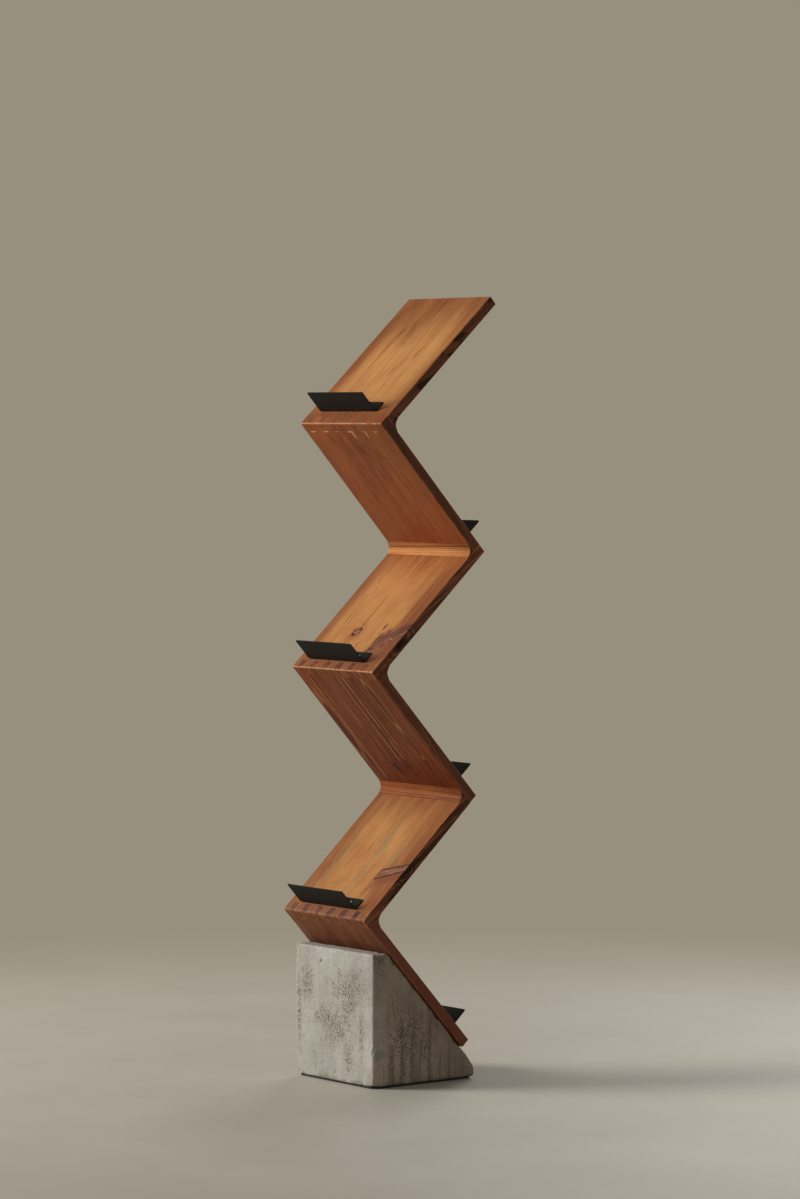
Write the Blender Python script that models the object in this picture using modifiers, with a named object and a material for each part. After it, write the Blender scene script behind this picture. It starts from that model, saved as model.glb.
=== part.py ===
"""Free-standing two-sided zigzag magazine shelf.

Six box-jointed wooden boards climb from a cast concrete wedge. Each board carries a bent steel holder,
on the front of the odd boards and on the back of the even ones. Metres, +Z up, front towards -Y, with the
origin on the floor under the middle of the base.
"""

import math

import bmesh
import bpy
from mathutils import Matrix, Vector

# Boards, counted from the top. Lengths run from outside face to outside face.
BOARD_WIDTH = 0.260
BOARD_THICKNESS = 0.0205
BOARD_LENGTH = 0.3585
TOP_BOARD_LENGTH = 0.368
FOOT_BOARD_LENGTH = 0.361
LEAN_BACK = math.radians(2.5)
FINGER_COUNT = 13
FINGER_OFFSET = 0.006

# Gap left between pieces that touch or are glued
FIT_GAP = 0.0003

# Concave strips glued into the inner corners
COVE_RADIUS = 0.017
COVE_EDGE = 0.0006
COVE_STEPS = 8

# Bent sheet holders and how far each sits from the lower end of its board
HOLDER_WIDTH = 0.178
HOLDER_OFFSET = 0.006
SHEET_THICKNESS = 0.002
FLANGE_HEIGHT = 0.027
LIP_DEPTH = 0.0505
BEND_RADIUS = 0.002
BEND_STEPS = 4
SHEET_CORNER_RADIUS = 0.003
SHEET_CORNER_STEPS = 3
TOP_HOLDER_SETBACK = 0.033
FRONT_HOLDER_SETBACK = 0.0225
REAR_HOLDER_SETBACK = 0.0335
FOOT_HOLDER_SETBACK = 0.0255

# Countersunk wood screws, two to a holder
SCREW_HEAD_RADIUS = 0.004
SCREW_SHANK_RADIUS = 0.002
SCREW_TIP_RADIUS = 0.0004
SCREW_TIP_LENGTH = 0.004
SCREW_BACK_WALL = 0.005
SCREW_END_INSET = 0.031
SCREW_SIDES = 16

# Cast concrete base. Its slanted face takes the foot board.
BASE_WIDTH = 0.250
BASE_HEIGHT = 0.262
BASE_LEDGE_DEPTH = 0.036
BASE_NOSE_HEIGHT = 0.026
BASE_EDGE_ROUND = 0.003
BASE_EDGE_STEPS = 2
FOOT_BOARD_RISE = 0.092

# Rubber sheet under the base
UNDERLAY_THICKNESS = 0.003
UNDERLAY_INSET = 0.004

# Four countersunk bolts through the foot board into sleeves cast into the base
BOLT_HEAD_RADIUS = 0.0075
BOLT_SHANK_RADIUS = 0.004
BOLT_TIP_RADIUS = 0.003
BOLT_TIP_LENGTH = 0.001
BOLT_BITE = 0.030
BOLT_SPACING = 0.150
BOLT_ROW_BELOW_LEDGE = 0.050
BOLT_ROW_ABOVE_FOOT = 0.110
SLEEVE_WALL = 0.0022
SLEEVE_FLOOR = 0.003
BOLT_SIDES = 20

# How far a cutter reaches past the surface it opens
CUT_OVERSHOOT = 0.001

# Points closer than this are one point
WELD_DISTANCE = 1e-6

# Sizes that follow from those above
EVEN_SLOPE = math.radians(45.0) + LEAN_BACK
STEP = BOARD_LENGTH - BOARD_THICKNESS
FINGER_WIDTH = BOARD_WIDTH / FINGER_COUNT
OUTER_BEND_RADIUS = BEND_RADIUS + SHEET_THICKNESS
SCREW_HEIGHT = (OUTER_BEND_RADIUS + FLANGE_HEIGHT) / 2
SCREW_LENGTH = FIT_GAP + SHEET_THICKNESS + BOARD_THICKNESS - SCREW_BACK_WALL
BOLT_LENGTH = BOARD_THICKNESS + FIT_GAP + BOLT_BITE
SLEEVE_RADIUS = BOLT_SHANK_RADIUS + FIT_GAP + SLEEVE_WALL
SLEEVE_LENGTH = BOLT_BITE + FIT_GAP + SLEEVE_FLOOR
BASE_DEPTH = BASE_LEDGE_DEPTH + (BASE_HEIGHT - BASE_NOSE_HEIGHT) / math.tan(EVEN_SLOPE)

# A curve drawn in Y and Z and extruded along X
ALONG_X = (math.pi / 2, 0.0, math.pi / 2)
# A board drawn in X and Y, standing up with its front towards -Y
STANDING = (math.pi / 2, 0.0, 0.0)
# The same board lying down, with its upper end towards -Y
LYING = (math.pi, 0.0, 0.0)
# Turns a holder from the front of a standing board to the back of a lying one
REAR_SIDE = (-math.pi / 2, 0.0, math.pi)
# Points a screw's head towards -Y
HEAD_TO_FRONT = (math.pi / 2, 0.0, 0.0)


def clear_scene():
    for item in list(bpy.data.objects):
        bpy.data.objects.remove(item)


def new_collection(name):
    collection = bpy.data.collections.new(name)
    bpy.context.scene.collection.children.link(collection)
    return collection


def new_material(name, colour, roughness, metallic=0.0):
    material = bpy.data.materials.new(name)
    material.use_nodes = True
    shader = material.node_tree.nodes["Principled BSDF"]
    shader.inputs["Base Color"].default_value = (*colour, 1.0)
    shader.inputs["Roughness"].default_value = roughness
    shader.inputs["Metallic"].default_value = metallic
    return material


def place(item, parent, location, rotation=(0.0, 0.0, 0.0)):
    item.parent = parent
    item.location = location
    item.rotation_euler = rotation
    return item


def new_empty(name, parent, location, rotation=(0.0, 0.0, 0.0)):
    empty = bpy.data.objects.new(name, None)
    parts.objects.link(empty)
    return place(empty, parent, location, rotation)


def arc(centre, radius, start, end, steps):
    """Points on an arc, both ends included. Angles are in degrees."""
    points = []
    for i in range(steps + 1):
        angle = math.radians(start + (end - start) * i / steps)
        points.append((centre[0] + radius * math.cos(angle), centre[1] + radius * math.sin(angle)))
    return points


def is_cap(face):
    """Whether a face of an extruded outline lies wholly on one side of its middle plane."""
    return abs(sum(math.copysign(1, vertex.co.z) for vertex in face.verts)) == len(face.verts)


def extruded(name, outline, depth, material):
    """A flat outline in X and Y, extruded evenly to both sides along Z, as a mesh object."""
    curve = bpy.data.curves.new(name, "CURVE")
    curve.dimensions = "2D"
    curve.fill_mode = "BOTH"
    curve.extrude = depth / 2
    spline = curve.splines.new("POLY")
    spline.points.add(len(outline) - 1)
    for point, (x, y) in zip(spline.points, outline):
        point.co = (x, y, 0.0, 1.0)
    spline.use_cyclic_u = True
    drawn = bpy.data.objects.new(name + "_outline", curve)
    parts.objects.link(drawn)
    graph = bpy.context.evaluated_depsgraph_get()
    mesh = bpy.data.meshes.new_from_object(drawn.evaluated_get(graph))
    bpy.data.objects.remove(drawn)
    bpy.data.curves.remove(curve)
    shape = bmesh.new()
    shape.from_mesh(mesh)
    bmesh.ops.remove_doubles(shape, verts=shape.verts, dist=WELD_DISTANCE)
    inside_caps = [edge for edge in shape.edges if all(is_cap(face) for face in edge.link_faces)]
    bmesh.ops.dissolve_edges(shape, edges=inside_caps)
    bmesh.ops.recalc_face_normals(shape, faces=shape.faces)
    shape.to_mesh(mesh)
    shape.free()
    mesh.name = name
    mesh.materials.clear()
    mesh.materials.append(material)
    item = bpy.data.objects.new(name, mesh)
    parts.objects.link(item)
    return item


def turned(name, profile, sides, collection, material=None):
    """A solid of revolution about Z. The profile runs from the top down its outer side, as radius and height."""
    shape = bmesh.new()
    line = [shape.verts.new((radius, 0.0, height)) for radius, height in profile]
    for upper, lower in zip(line, line[1:]):
        shape.edges.new((upper, lower))
    mesh = bpy.data.meshes.new(name)
    shape.to_mesh(mesh)
    shape.free()
    if material:
        mesh.materials.append(material)
    item = bpy.data.objects.new(name, mesh)
    collection.objects.link(item)
    spin = item.modifiers.new("Turn", "SCREW")
    spin.axis = "Z"
    spin.steps = sides
    spin.render_steps = sides
    spin.use_merge_vertices = True
    spin.merge_threshold = WELD_DISTANCE
    spin.use_smooth_shade = True
    return item


def countersunk_profile(head_radius, shank_radius, length, tip_radius, tip_length):
    return [
        (0.0, 0.0),
        (head_radius, 0.0),
        (shank_radius, shank_radius - head_radius),
        (shank_radius, tip_length - length),
        (tip_radius, -length),
        (0.0, -length),
    ]


def countersunk_cut(head_radius, shank_radius, length):
    """The hole that a countersunk fastener sits in, one fit gap larger all round."""
    mouth_radius = head_radius + math.sqrt(2) * FIT_GAP
    hole_radius = shank_radius + FIT_GAP
    return [
        (0.0, CUT_OVERSHOOT),
        (mouth_radius + CUT_OVERSHOOT, CUT_OVERSHOOT),
        (hole_radius, hole_radius - mouth_radius),
        (hole_radius, -length - FIT_GAP),
        (0.0, -length - FIT_GAP),
    ]


def hide_as_cutter(item):
    item.hide_render = True
    item.display_type = "WIRE"
    return item


def cut(target, cutter):
    boolean = target.modifiers.new("Cut " + cutter.name, "BOOLEAN")
    boolean.operation = "DIFFERENCE"
    boolean.object = cutter


def end_points(end, inward, outermost, jointed):
    """One end of a board's outline, from -X to +X. Inward is the sign of Y towards the board's middle."""
    half = BOARD_WIDTH / 2
    if not jointed:
        return [(-half, end), (half, end)]
    notch = end + inward * (BOARD_THICKNESS + FIT_GAP)
    points = []
    for i in range(FINGER_COUNT):
        is_finger = (i % 2 == 0) == outermost
        y = end if is_finger else notch
        side_gap = FIT_GAP / 2 if is_finger else -FIT_GAP / 2
        left = -half + i * FINGER_WIDTH - FINGER_OFFSET
        right = left + FINGER_WIDTH
        is_last = i == FINGER_COUNT - 1
        points.append((left + side_gap if i > 0 else -half, y))
        points.append((half if is_last else right - side_gap, y))
    return points


def make_board(name, length, lower, upper, material):
    """A board from its lower end at Y = 0 to its upper end. Lower and upper say whether that end holds the
    outermost fingers, or None where the end is plain."""
    outline = end_points(0.0, 1, lower, lower is not None)
    outline += reversed(end_points(length, -1, upper, upper is not None))
    return extruded(name, outline, BOARD_THICKNESS, material)


def make_cove(name, material):
    """A strip with two square legs and a concave face between them, in the corner of +Y and +Z."""
    low = FIT_GAP
    edge = low + COVE_EDGE
    end = edge + COVE_RADIUS
    outline = [(low, low), (end, low)]
    outline += arc((end, end), COVE_RADIUS, 270, 180, COVE_STEPS)
    outline += [(low, end)]
    return extruded(name, outline, BOARD_WIDTH, material)


def make_holder(name, material):
    """An angle bent from sheet: the flange lies on the board and runs up, the lip stands out towards -Y."""
    back = -FIT_GAP
    face = back - SHEET_THICKNESS
    bend = (back - OUTER_BEND_RADIUS, OUTER_BEND_RADIUS)
    tip = back - LIP_DEPTH
    outline = [(back, FLANGE_HEIGHT)]
    outline += arc(bend, OUTER_BEND_RADIUS, 0, -90, BEND_STEPS)
    outline += [(tip, 0.0), (tip, SHEET_THICKNESS)]
    outline += arc(bend, BEND_RADIUS, -90, 0, BEND_STEPS)
    outline += [(face, FLANGE_HEIGHT)]
    holder = extruded(name, outline, HOLDER_WIDTH, material)
    round_sheet_corners(holder.data, tip)
    return holder


def round_sheet_corners(mesh, tip):
    """Rounds the four free corners of a holder's sheet."""
    tolerance = SHEET_THICKNESS / 10
    shape = bmesh.new()
    shape.from_mesh(mesh)
    corners = []
    for edge in shape.edges:
        ends = [vertex.co for vertex in edge.verts]
        at_side = all(abs(abs(co.z) - HOLDER_WIDTH / 2) < tolerance for co in ends)
        same_side = ends[0].z * ends[1].z > 0
        on_lip = all(abs(co.x - tip) < tolerance for co in ends)
        on_flange = all(abs(co.y - FLANGE_HEIGHT) < tolerance for co in ends)
        if at_side and same_side and (on_lip or on_flange):
            corners.append(edge)
    bmesh.ops.bevel(
        shape,
        geom=corners,
        offset=SHEET_CORNER_RADIUS,
        segments=SHEET_CORNER_STEPS,
        profile=0.5,
        affect="EDGES",
    )
    shape.to_mesh(mesh)
    shape.free()


def add_board(name, length, lower, upper, corner, standing):
    """Places a board with its lower end at a corner of the staircase that the boards form."""
    board = make_board(name, length, lower, upper, wood)
    middle = BOARD_THICKNESS / 2
    if standing:
        return place(board, stair, (0.0, corner[0] + middle, corner[1]), STANDING)
    return place(board, stair, (0.0, corner[0], corner[1] - middle), LYING)


def add_cove(number, corner, quarter_turns):
    cove = make_cove(f"cove_strip_{number}", cove_wood)
    seat = new_empty(f"cove_seat_{number}", stair, (0.0, *corner), (quarter_turns * math.pi / 2, 0.0, 0.0))
    return place(cove, seat, (0.0, 0.0, 0.0), ALONG_X)


def add_holder(number, board, location, rotation):
    """A holder with its two screws, whose holes go through the flange and into the board."""
    seat = new_empty(f"holder_seat_{number}", stair, location, rotation)
    holder = place(make_holder(f"holder_{number}", black_steel), seat, (-HOLDER_OFFSET, 0.0, 0.0), ALONG_X)
    profile = countersunk_profile(
        SCREW_HEAD_RADIUS, SCREW_SHANK_RADIUS, SCREW_LENGTH, SCREW_TIP_RADIUS, SCREW_TIP_LENGTH
    )
    hole = countersunk_cut(SCREW_HEAD_RADIUS, SCREW_SHANK_RADIUS, SCREW_LENGTH)
    reach = HOLDER_WIDTH / 2 - SCREW_END_INSET
    for side, x in (("left", -reach), ("right", reach)):
        spot = (x - HOLDER_OFFSET, -FIT_GAP - SHEET_THICKNESS, SCREW_HEIGHT)
        screw = turned(f"holder_{number}_screw_{side}", profile, SCREW_SIDES, parts, bright_steel)
        place(screw, seat, spot, HEAD_TO_FRONT)
        cutter = hide_as_cutter(turned(f"cut_{screw.name}", hole, SCREW_SIDES, cutters))
        place(cutter, seat, spot, HEAD_TO_FRONT)
        cut(holder, cutter)
        cut(board, cutter)
    return holder


def add_base():
    """The concrete wedge, drawn in Y and Z from its front lower edge, with cast edges slightly rounded."""
    front = -BASE_DEPTH / 2
    back = BASE_DEPTH / 2
    bottom = UNDERLAY_THICKNESS + FIT_GAP
    outline = [
        (front, bottom),
        (back, bottom),
        (back, BASE_NOSE_HEIGHT),
        (front + BASE_LEDGE_DEPTH, BASE_HEIGHT),
        (front, BASE_HEIGHT),
    ]
    base = extruded("concrete_base", outline, BASE_WIDTH, concrete)
    place(base, None, (0.0, 0.0, 0.0), ALONG_X)
    bevel = base.modifiers.new("Cast edges", "BEVEL")
    bevel.width = BASE_EDGE_ROUND
    bevel.segments = BASE_EDGE_STEPS
    bevel.limit_method = "ANGLE"
    return base


def add_underlay():
    bpy.ops.mesh.primitive_cube_add(size=1.0)
    sheet = bpy.context.active_object
    sheet.name = "rubber_underlay"
    sheet.data.name = sheet.name
    for collection in list(sheet.users_collection):
        collection.objects.unlink(sheet)
    parts.objects.link(sheet)
    sides = (BASE_WIDTH - 2 * UNDERLAY_INSET, BASE_DEPTH - 2 * UNDERLAY_INSET, UNDERLAY_THICKNESS, 1.0)
    sheet.data.transform(Matrix.Diagonal(sides))
    sheet.data.materials.append(rubber)
    return place(sheet, None, (0.0, 0.0, UNDERLAY_THICKNESS / 2))


def add_bolt(name, board, base, x, y):
    """One bolt through the foot board, and the sleeve cast into the base that it screws into."""
    head = (x, y, BOARD_THICKNESS)
    profile = countersunk_profile(
        BOLT_HEAD_RADIUS, BOLT_SHANK_RADIUS, BOLT_LENGTH, BOLT_TIP_RADIUS, BOLT_TIP_LENGTH
    )
    hole = countersunk_cut(BOLT_HEAD_RADIUS, BOLT_SHANK_RADIUS, BOLT_LENGTH)
    place(turned(f"base_bolt_{name}", profile, BOLT_SIDES, parts, zinc_steel), stair, head)
    cutter = hide_as_cutter(turned(f"cut_base_bolt_{name}", hole, BOLT_SIDES, cutters))
    cut(board, place(cutter, stair, head))
    mouth = (x, y, -FIT_GAP)
    bore_radius = BOLT_SHANK_RADIUS + FIT_GAP
    bore_floor = SLEEVE_FLOOR - SLEEVE_LENGTH
    sleeve_profile = [
        (0.0, bore_floor),
        (bore_radius, bore_floor),
        (bore_radius, 0.0),
        (SLEEVE_RADIUS, 0.0),
        (SLEEVE_RADIUS, -SLEEVE_LENGTH),
        (0.0, -SLEEVE_LENGTH),
    ]
    place(turned(f"base_sleeve_{name}", sleeve_profile, BOLT_SIDES, parts, zinc_steel), stair, mouth)
    socket_profile = [
        (0.0, CUT_OVERSHOOT),
        (SLEEVE_RADIUS + FIT_GAP, CUT_OVERSHOOT),
        (SLEEVE_RADIUS + FIT_GAP, -SLEEVE_LENGTH - FIT_GAP),
        (0.0, -SLEEVE_LENGTH - FIT_GAP),
    ]
    socket = hide_as_cutter(turned(f"cut_base_sleeve_{name}", socket_profile, BOLT_SIDES, cutters))
    cut(base, place(socket, stair, mouth))


clear_scene()
parts = new_collection("magazine_shelf")
cutters = new_collection("cutters")

wood = new_material("oiled_wood", (0.27, 0.10, 0.035), 0.45)
cove_wood = new_material("honey_wood", (0.42, 0.19, 0.065), 0.45)
black_steel = new_material("black_steel", (0.016, 0.016, 0.017), 0.5)
bright_steel = new_material("bright_steel", (0.55, 0.54, 0.52), 0.3, 1.0)
zinc_steel = new_material("zinc_steel", (0.45, 0.45, 0.44), 0.4, 1.0)
concrete = new_material("concrete", (0.36, 0.34, 0.29), 0.9)
rubber = new_material("rubber", (0.02, 0.02, 0.02), 0.8)

base = add_base()
add_underlay()

# The boards form a staircase in their own frame: its Y runs down the even boards, its Z up the odd ones,
# and its origin is the front corner of the two lowest boards.
slope_up = Vector((0.0, -math.cos(EVEN_SLOPE), math.sin(EVEN_SLOPE)))
slope_out = Vector((0.0, math.sin(EVEN_SLOPE), math.cos(EVEN_SLOPE)))
ledge_edge = Vector((0.0, BASE_LEDGE_DEPTH - BASE_DEPTH / 2, BASE_HEIGHT))
lowest_corner = ledge_edge + FOOT_BOARD_RISE * slope_up + FIT_GAP * slope_out
stair = new_empty("zigzag", None, lowest_corner, (-EVEN_SLOPE, 0.0, 0.0))

# Corners of the staircase: fronts at C1, C3 and C5, backs at C2 and C4
front_corners = {number: (-n * STEP, n * STEP) for n, number in enumerate((5, 3, 1))}
back_corners = {
    number: (BOARD_THICKNESS - n * STEP, BOARD_LENGTH + n * STEP) for n, number in enumerate((4, 2))
}
foot_end = (FOOT_BOARD_LENGTH, BOARD_THICKNESS)

# The last two values say which end of the board holds the outermost fingers of its joint.
boards = {
    1: add_board("board_1_top", TOP_BOARD_LENGTH, False, None, front_corners[1], True),
    2: add_board("board_2", BOARD_LENGTH, False, True, back_corners[2], False),
    3: add_board("board_3", BOARD_LENGTH, True, True, front_corners[3], True),
    4: add_board("board_4", BOARD_LENGTH, True, False, back_corners[4], False),
    5: add_board("board_5", BOARD_LENGTH, True, False, front_corners[5], True),
    6: add_board("board_6_foot", FOOT_BOARD_LENGTH, None, False, foot_end, False),
}

# The coves sit behind the front corners and before the back corners.
for number, (y, z) in front_corners.items():
    add_cove(number, (y + BOARD_THICKNESS, z + BOARD_THICKNESS), 0)
for number, (y, z) in back_corners.items():
    add_cove(number, (y - BOARD_THICKNESS, z - BOARD_THICKNESS), 2)

for number, setback in ((1, TOP_HOLDER_SETBACK), (3, FRONT_HOLDER_SETBACK), (5, FRONT_HOLDER_SETBACK)):
    y, z = front_corners[number]
    add_holder(number, boards[number], (0.0, y, z + setback), (0.0, 0.0, 0.0))
rear_ends = {2: back_corners[2], 4: back_corners[4], 6: foot_end}
for number, setback in ((2, REAR_HOLDER_SETBACK), (4, REAR_HOLDER_SETBACK), (6, FOOT_HOLDER_SETBACK)):
    y, z = rear_ends[number]
    add_holder(number, boards[number], (0.0, y - setback, z), REAR_SIDE)

bolt_rows = {
    "upper": FOOT_BOARD_RISE + BOLT_ROW_BELOW_LEDGE,
    "lower": FOOT_BOARD_LENGTH - BOLT_ROW_ABOVE_FOOT,
}
for row, y in bolt_rows.items():
    add_bolt(f"{row}_left", boards[6], base, -BOLT_SPACING / 2, y)
    add_bolt(f"{row}_right", boards[6], base, BOLT_SPACING / 2, y)
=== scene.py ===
"""Looks of the magazine shelf: oiled wood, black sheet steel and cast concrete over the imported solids.

Metres, +Z up, front towards -Y. Each piece keeps its own axes, so that its material can follow its grain.
"""

import math
import random
from collections import namedtuple
from types import SimpleNamespace

import bmesh
import bpy
from mathutils import Color, Matrix, Vector, noise


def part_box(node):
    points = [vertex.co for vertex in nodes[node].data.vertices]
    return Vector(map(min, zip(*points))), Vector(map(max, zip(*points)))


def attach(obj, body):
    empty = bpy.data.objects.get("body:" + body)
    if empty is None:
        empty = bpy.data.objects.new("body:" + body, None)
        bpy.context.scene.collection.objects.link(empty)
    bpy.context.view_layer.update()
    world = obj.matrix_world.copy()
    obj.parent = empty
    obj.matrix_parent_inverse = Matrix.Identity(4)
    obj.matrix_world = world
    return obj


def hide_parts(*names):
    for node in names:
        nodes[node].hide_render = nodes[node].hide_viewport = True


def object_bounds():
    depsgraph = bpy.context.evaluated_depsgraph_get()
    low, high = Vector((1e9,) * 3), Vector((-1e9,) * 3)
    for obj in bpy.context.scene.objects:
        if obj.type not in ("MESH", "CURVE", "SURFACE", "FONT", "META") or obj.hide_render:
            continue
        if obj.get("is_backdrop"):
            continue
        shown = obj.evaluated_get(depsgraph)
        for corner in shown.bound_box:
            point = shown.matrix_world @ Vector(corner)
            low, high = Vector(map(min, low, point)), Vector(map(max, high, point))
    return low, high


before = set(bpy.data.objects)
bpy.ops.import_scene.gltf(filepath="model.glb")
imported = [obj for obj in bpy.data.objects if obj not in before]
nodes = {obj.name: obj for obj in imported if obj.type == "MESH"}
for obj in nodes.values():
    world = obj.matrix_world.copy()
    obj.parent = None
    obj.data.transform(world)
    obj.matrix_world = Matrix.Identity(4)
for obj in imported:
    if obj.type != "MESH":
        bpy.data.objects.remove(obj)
cad_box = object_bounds()

# Directions of the boards, as the solids have them. Odd boards stand, even boards lie.
SLOPE = math.radians(47.5)
ACROSS = Vector((1.0, 0.0, 0.0))
DOWN_EVEN = Vector((0.0, math.cos(SLOPE), -math.sin(SLOPE)))
UP_ODD = Vector((0.0, math.sin(SLOPE), math.cos(SLOPE)))

# Box joints, and how far a cove covers the boards on each side of an inner corner
FINGER_COUNT = 13
FINGER_OFFSET = 0.006
COVE_REACH = 0.018

# Fasteners: radius of head and shank, length, radius and length of the tip
SCREW_SIZES = (0.004, 0.002, 0.0178, 0.0004, 0.004)
BOLT_SIZES = (0.0075, 0.004, 0.0508, 0.003, 0.001)
SCREW_SIDES = 32
BOLT_SIDES = 40
HEAD_RIM_SHARE = 0.06
HOLE_GAP = 0.0002
TURN_BETWEEN_FASTENERS = math.radians(37.0)
BOLT_NAMES = [f"base_bolt_{row}_{side}" for row in ("upper", "lower") for side in ("left", "right")]
BOLT_DIRECTIONS = (-DOWN_EVEN, UP_ODD)

# Driver recesses: reach, half width of an arm, depth, and how the cross narrows to its foot
CROSS_RECESS = (0.0023, 0.00055, 0.0018)
CROSS_TAPER = 0.45
HEX_RECESS = (0.0029, 0.0035)

# Where the screw holes of a holder lie: lowest and highest point up the flange, and reach across it
HOLE_LOW = 0.006
HOLE_HIGH = 0.024
HOLE_REACH = 0.08

# Rounding of edges
BOARD_ROUND = 0.0020
LOWEST_CORNER_ROUND = 0.0050
BOARD_ROUND_STEPS = 3
COVE_ROUND = 0.0005
SHEET_ROUND = 0.0004
UNDERLAY_ROUND = 0.0006
UNDERLAY_CORNER = 0.012
UNDERLAY_CORNER_STEPS = 8
SMALL_ROUND_STEPS = 2

# The casting: cells of its grid, a point of its slanted face, and low waves of its faces
CONCRETE_CELL = 0.0024
SLANT_POINT = Vector((0.0, -0.0901, 0.262))
WAVE_DEPTH = 0.0005

# How far wear reaches in from an edge of the casting, and how much it takes away there
CHIP = (0.014, 0.0075)
NOSE = (0.018, 0.0020)
LOW_NOSE = (0.009, 0.0020)
CORNER = (0.026, 0.0060)
FAR_CORNER = (0.032, 0.0090)

# Air holes of the casting: how many are scattered, and the share of them on its sides
AIR_HOLE_COUNT = 70
AIR_HOLES_AT_SIDES = 0.6

# Points closer than this are one point, faces flatter than this are one face, and sharper edges stay sharp
WELD_DISTANCE = 2e-6
FLAT_ANGLE = math.radians(0.3)
SHARP_ANGLE = math.radians(40.0)
TOLERANCE = 2e-4

# Floor, light and camera
FLOOR_REACH = 6.0
FLOOR_STEPS = 96
FLOOR_FADE = (1.0, 2.6)
SKY_COLOUR = (1.0, 0.97, 0.92, 1.0)
SKY_STRENGTH = 0.21
BACKGROUND_GREY = (152, 144, 127)
LAMP_TARGET = Vector((0.0, 0.0, 0.8))
CAMERA_LENS = 130.4
CAMERA_SENSOR = 36.0
CAMERA_PLACE = (6.741, -5.196, 1.304)
CAMERA_TILT = math.radians(90.0 - 2.448)
CAMERA_TURN = math.radians(52.177)


def srgb(red, green, blue):
    """A colour as it shows on screen, from 0 to 255, as linear values."""
    shown = Color((red / 255, green / 255, blue / 255))
    return (*shown.from_srgb_to_scene_linear(), 1.0)


def reckoned(operation, swapped=False):
    """An operator between a field and another field or a number."""

    def work(self, other):
        values = (other, self) if swapped else (self, other)
        return self.maker.math(operation, *values)

    return work


class Field:
    """A value that varies over a surface. A number is reckoned with as a plain one is."""

    __add__ = __radd__ = reckoned("ADD")
    __sub__ = reckoned("SUBTRACT")
    __rsub__ = reckoned("SUBTRACT", swapped=True)
    __mul__ = __rmul__ = reckoned("MULTIPLY")
    __truediv__ = reckoned("DIVIDE")

    def __init__(self, maker, socket):
        self.maker = maker
        self.socket = socket

    def __neg__(self):
        return self * -1.0

    def __abs__(self):
        return self.maker.math("ABSOLUTE", self)

    def rise(self, low, high):
        """0 at low, 1 at high and smooth between. Low may be the larger of the two."""
        values = {"Value": self, "From Min": low, "From Max": high}
        return self.maker.field("MapRange", values, interpolation_type="SMOOTHSTEP")

    def band(self, middle, half, soft):
        """1 within half of the middle, falling to 0 over a soft margin."""
        return abs(self - middle).rise(half + soft, half)

    def between(self, low, high, soft):
        """1 from low to high, falling to 0 over a soft margin."""
        return self.rise(low - soft, low) * self.rise(high + soft, high)


class Nodes:
    """A tree of nodes, and short ways to add to it."""

    def __init__(self, owner):
        owner.use_nodes = True
        self.tree = owner.node_tree

    def feed(self, sockets, values):
        """Sets sockets, by name or number, to plain values, or links them to what varies."""
        for key, value in values.items():
            if isinstance(value, Field):
                value = value.socket
            if isinstance(value, bpy.types.NodeSocket):
                self.tree.links.new(value, sockets[key])
            else:
                sockets[key].default_value = value

    def node(self, kind, values=None, **settings):
        made = self.tree.nodes.new(f"ShaderNode{kind}")
        for name, value in settings.items():
            setattr(made, name, value)
        self.feed(made.inputs, values or {})
        return made

    def field(self, kind, values, **settings):
        return Field(self, self.node(kind, values, **settings).outputs[0])

    def math(self, operation, *values):
        return self.field("Math", dict(enumerate(values)), operation=operation)

    def most(self, first, *others):
        for other in others:
            first = self.math("MAXIMUM", first, other)
        return first

    def blend(self, share, first, second, output):
        """Ends the tree in two shaders, mixed by the share of the second."""
        made = self.node("MixShader", {0: share, 1: first.outputs[0], 2: second.outputs[0]})
        self.feed(self.tree.nodes[output].inputs, {"Surface": made.outputs[0]})


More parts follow.
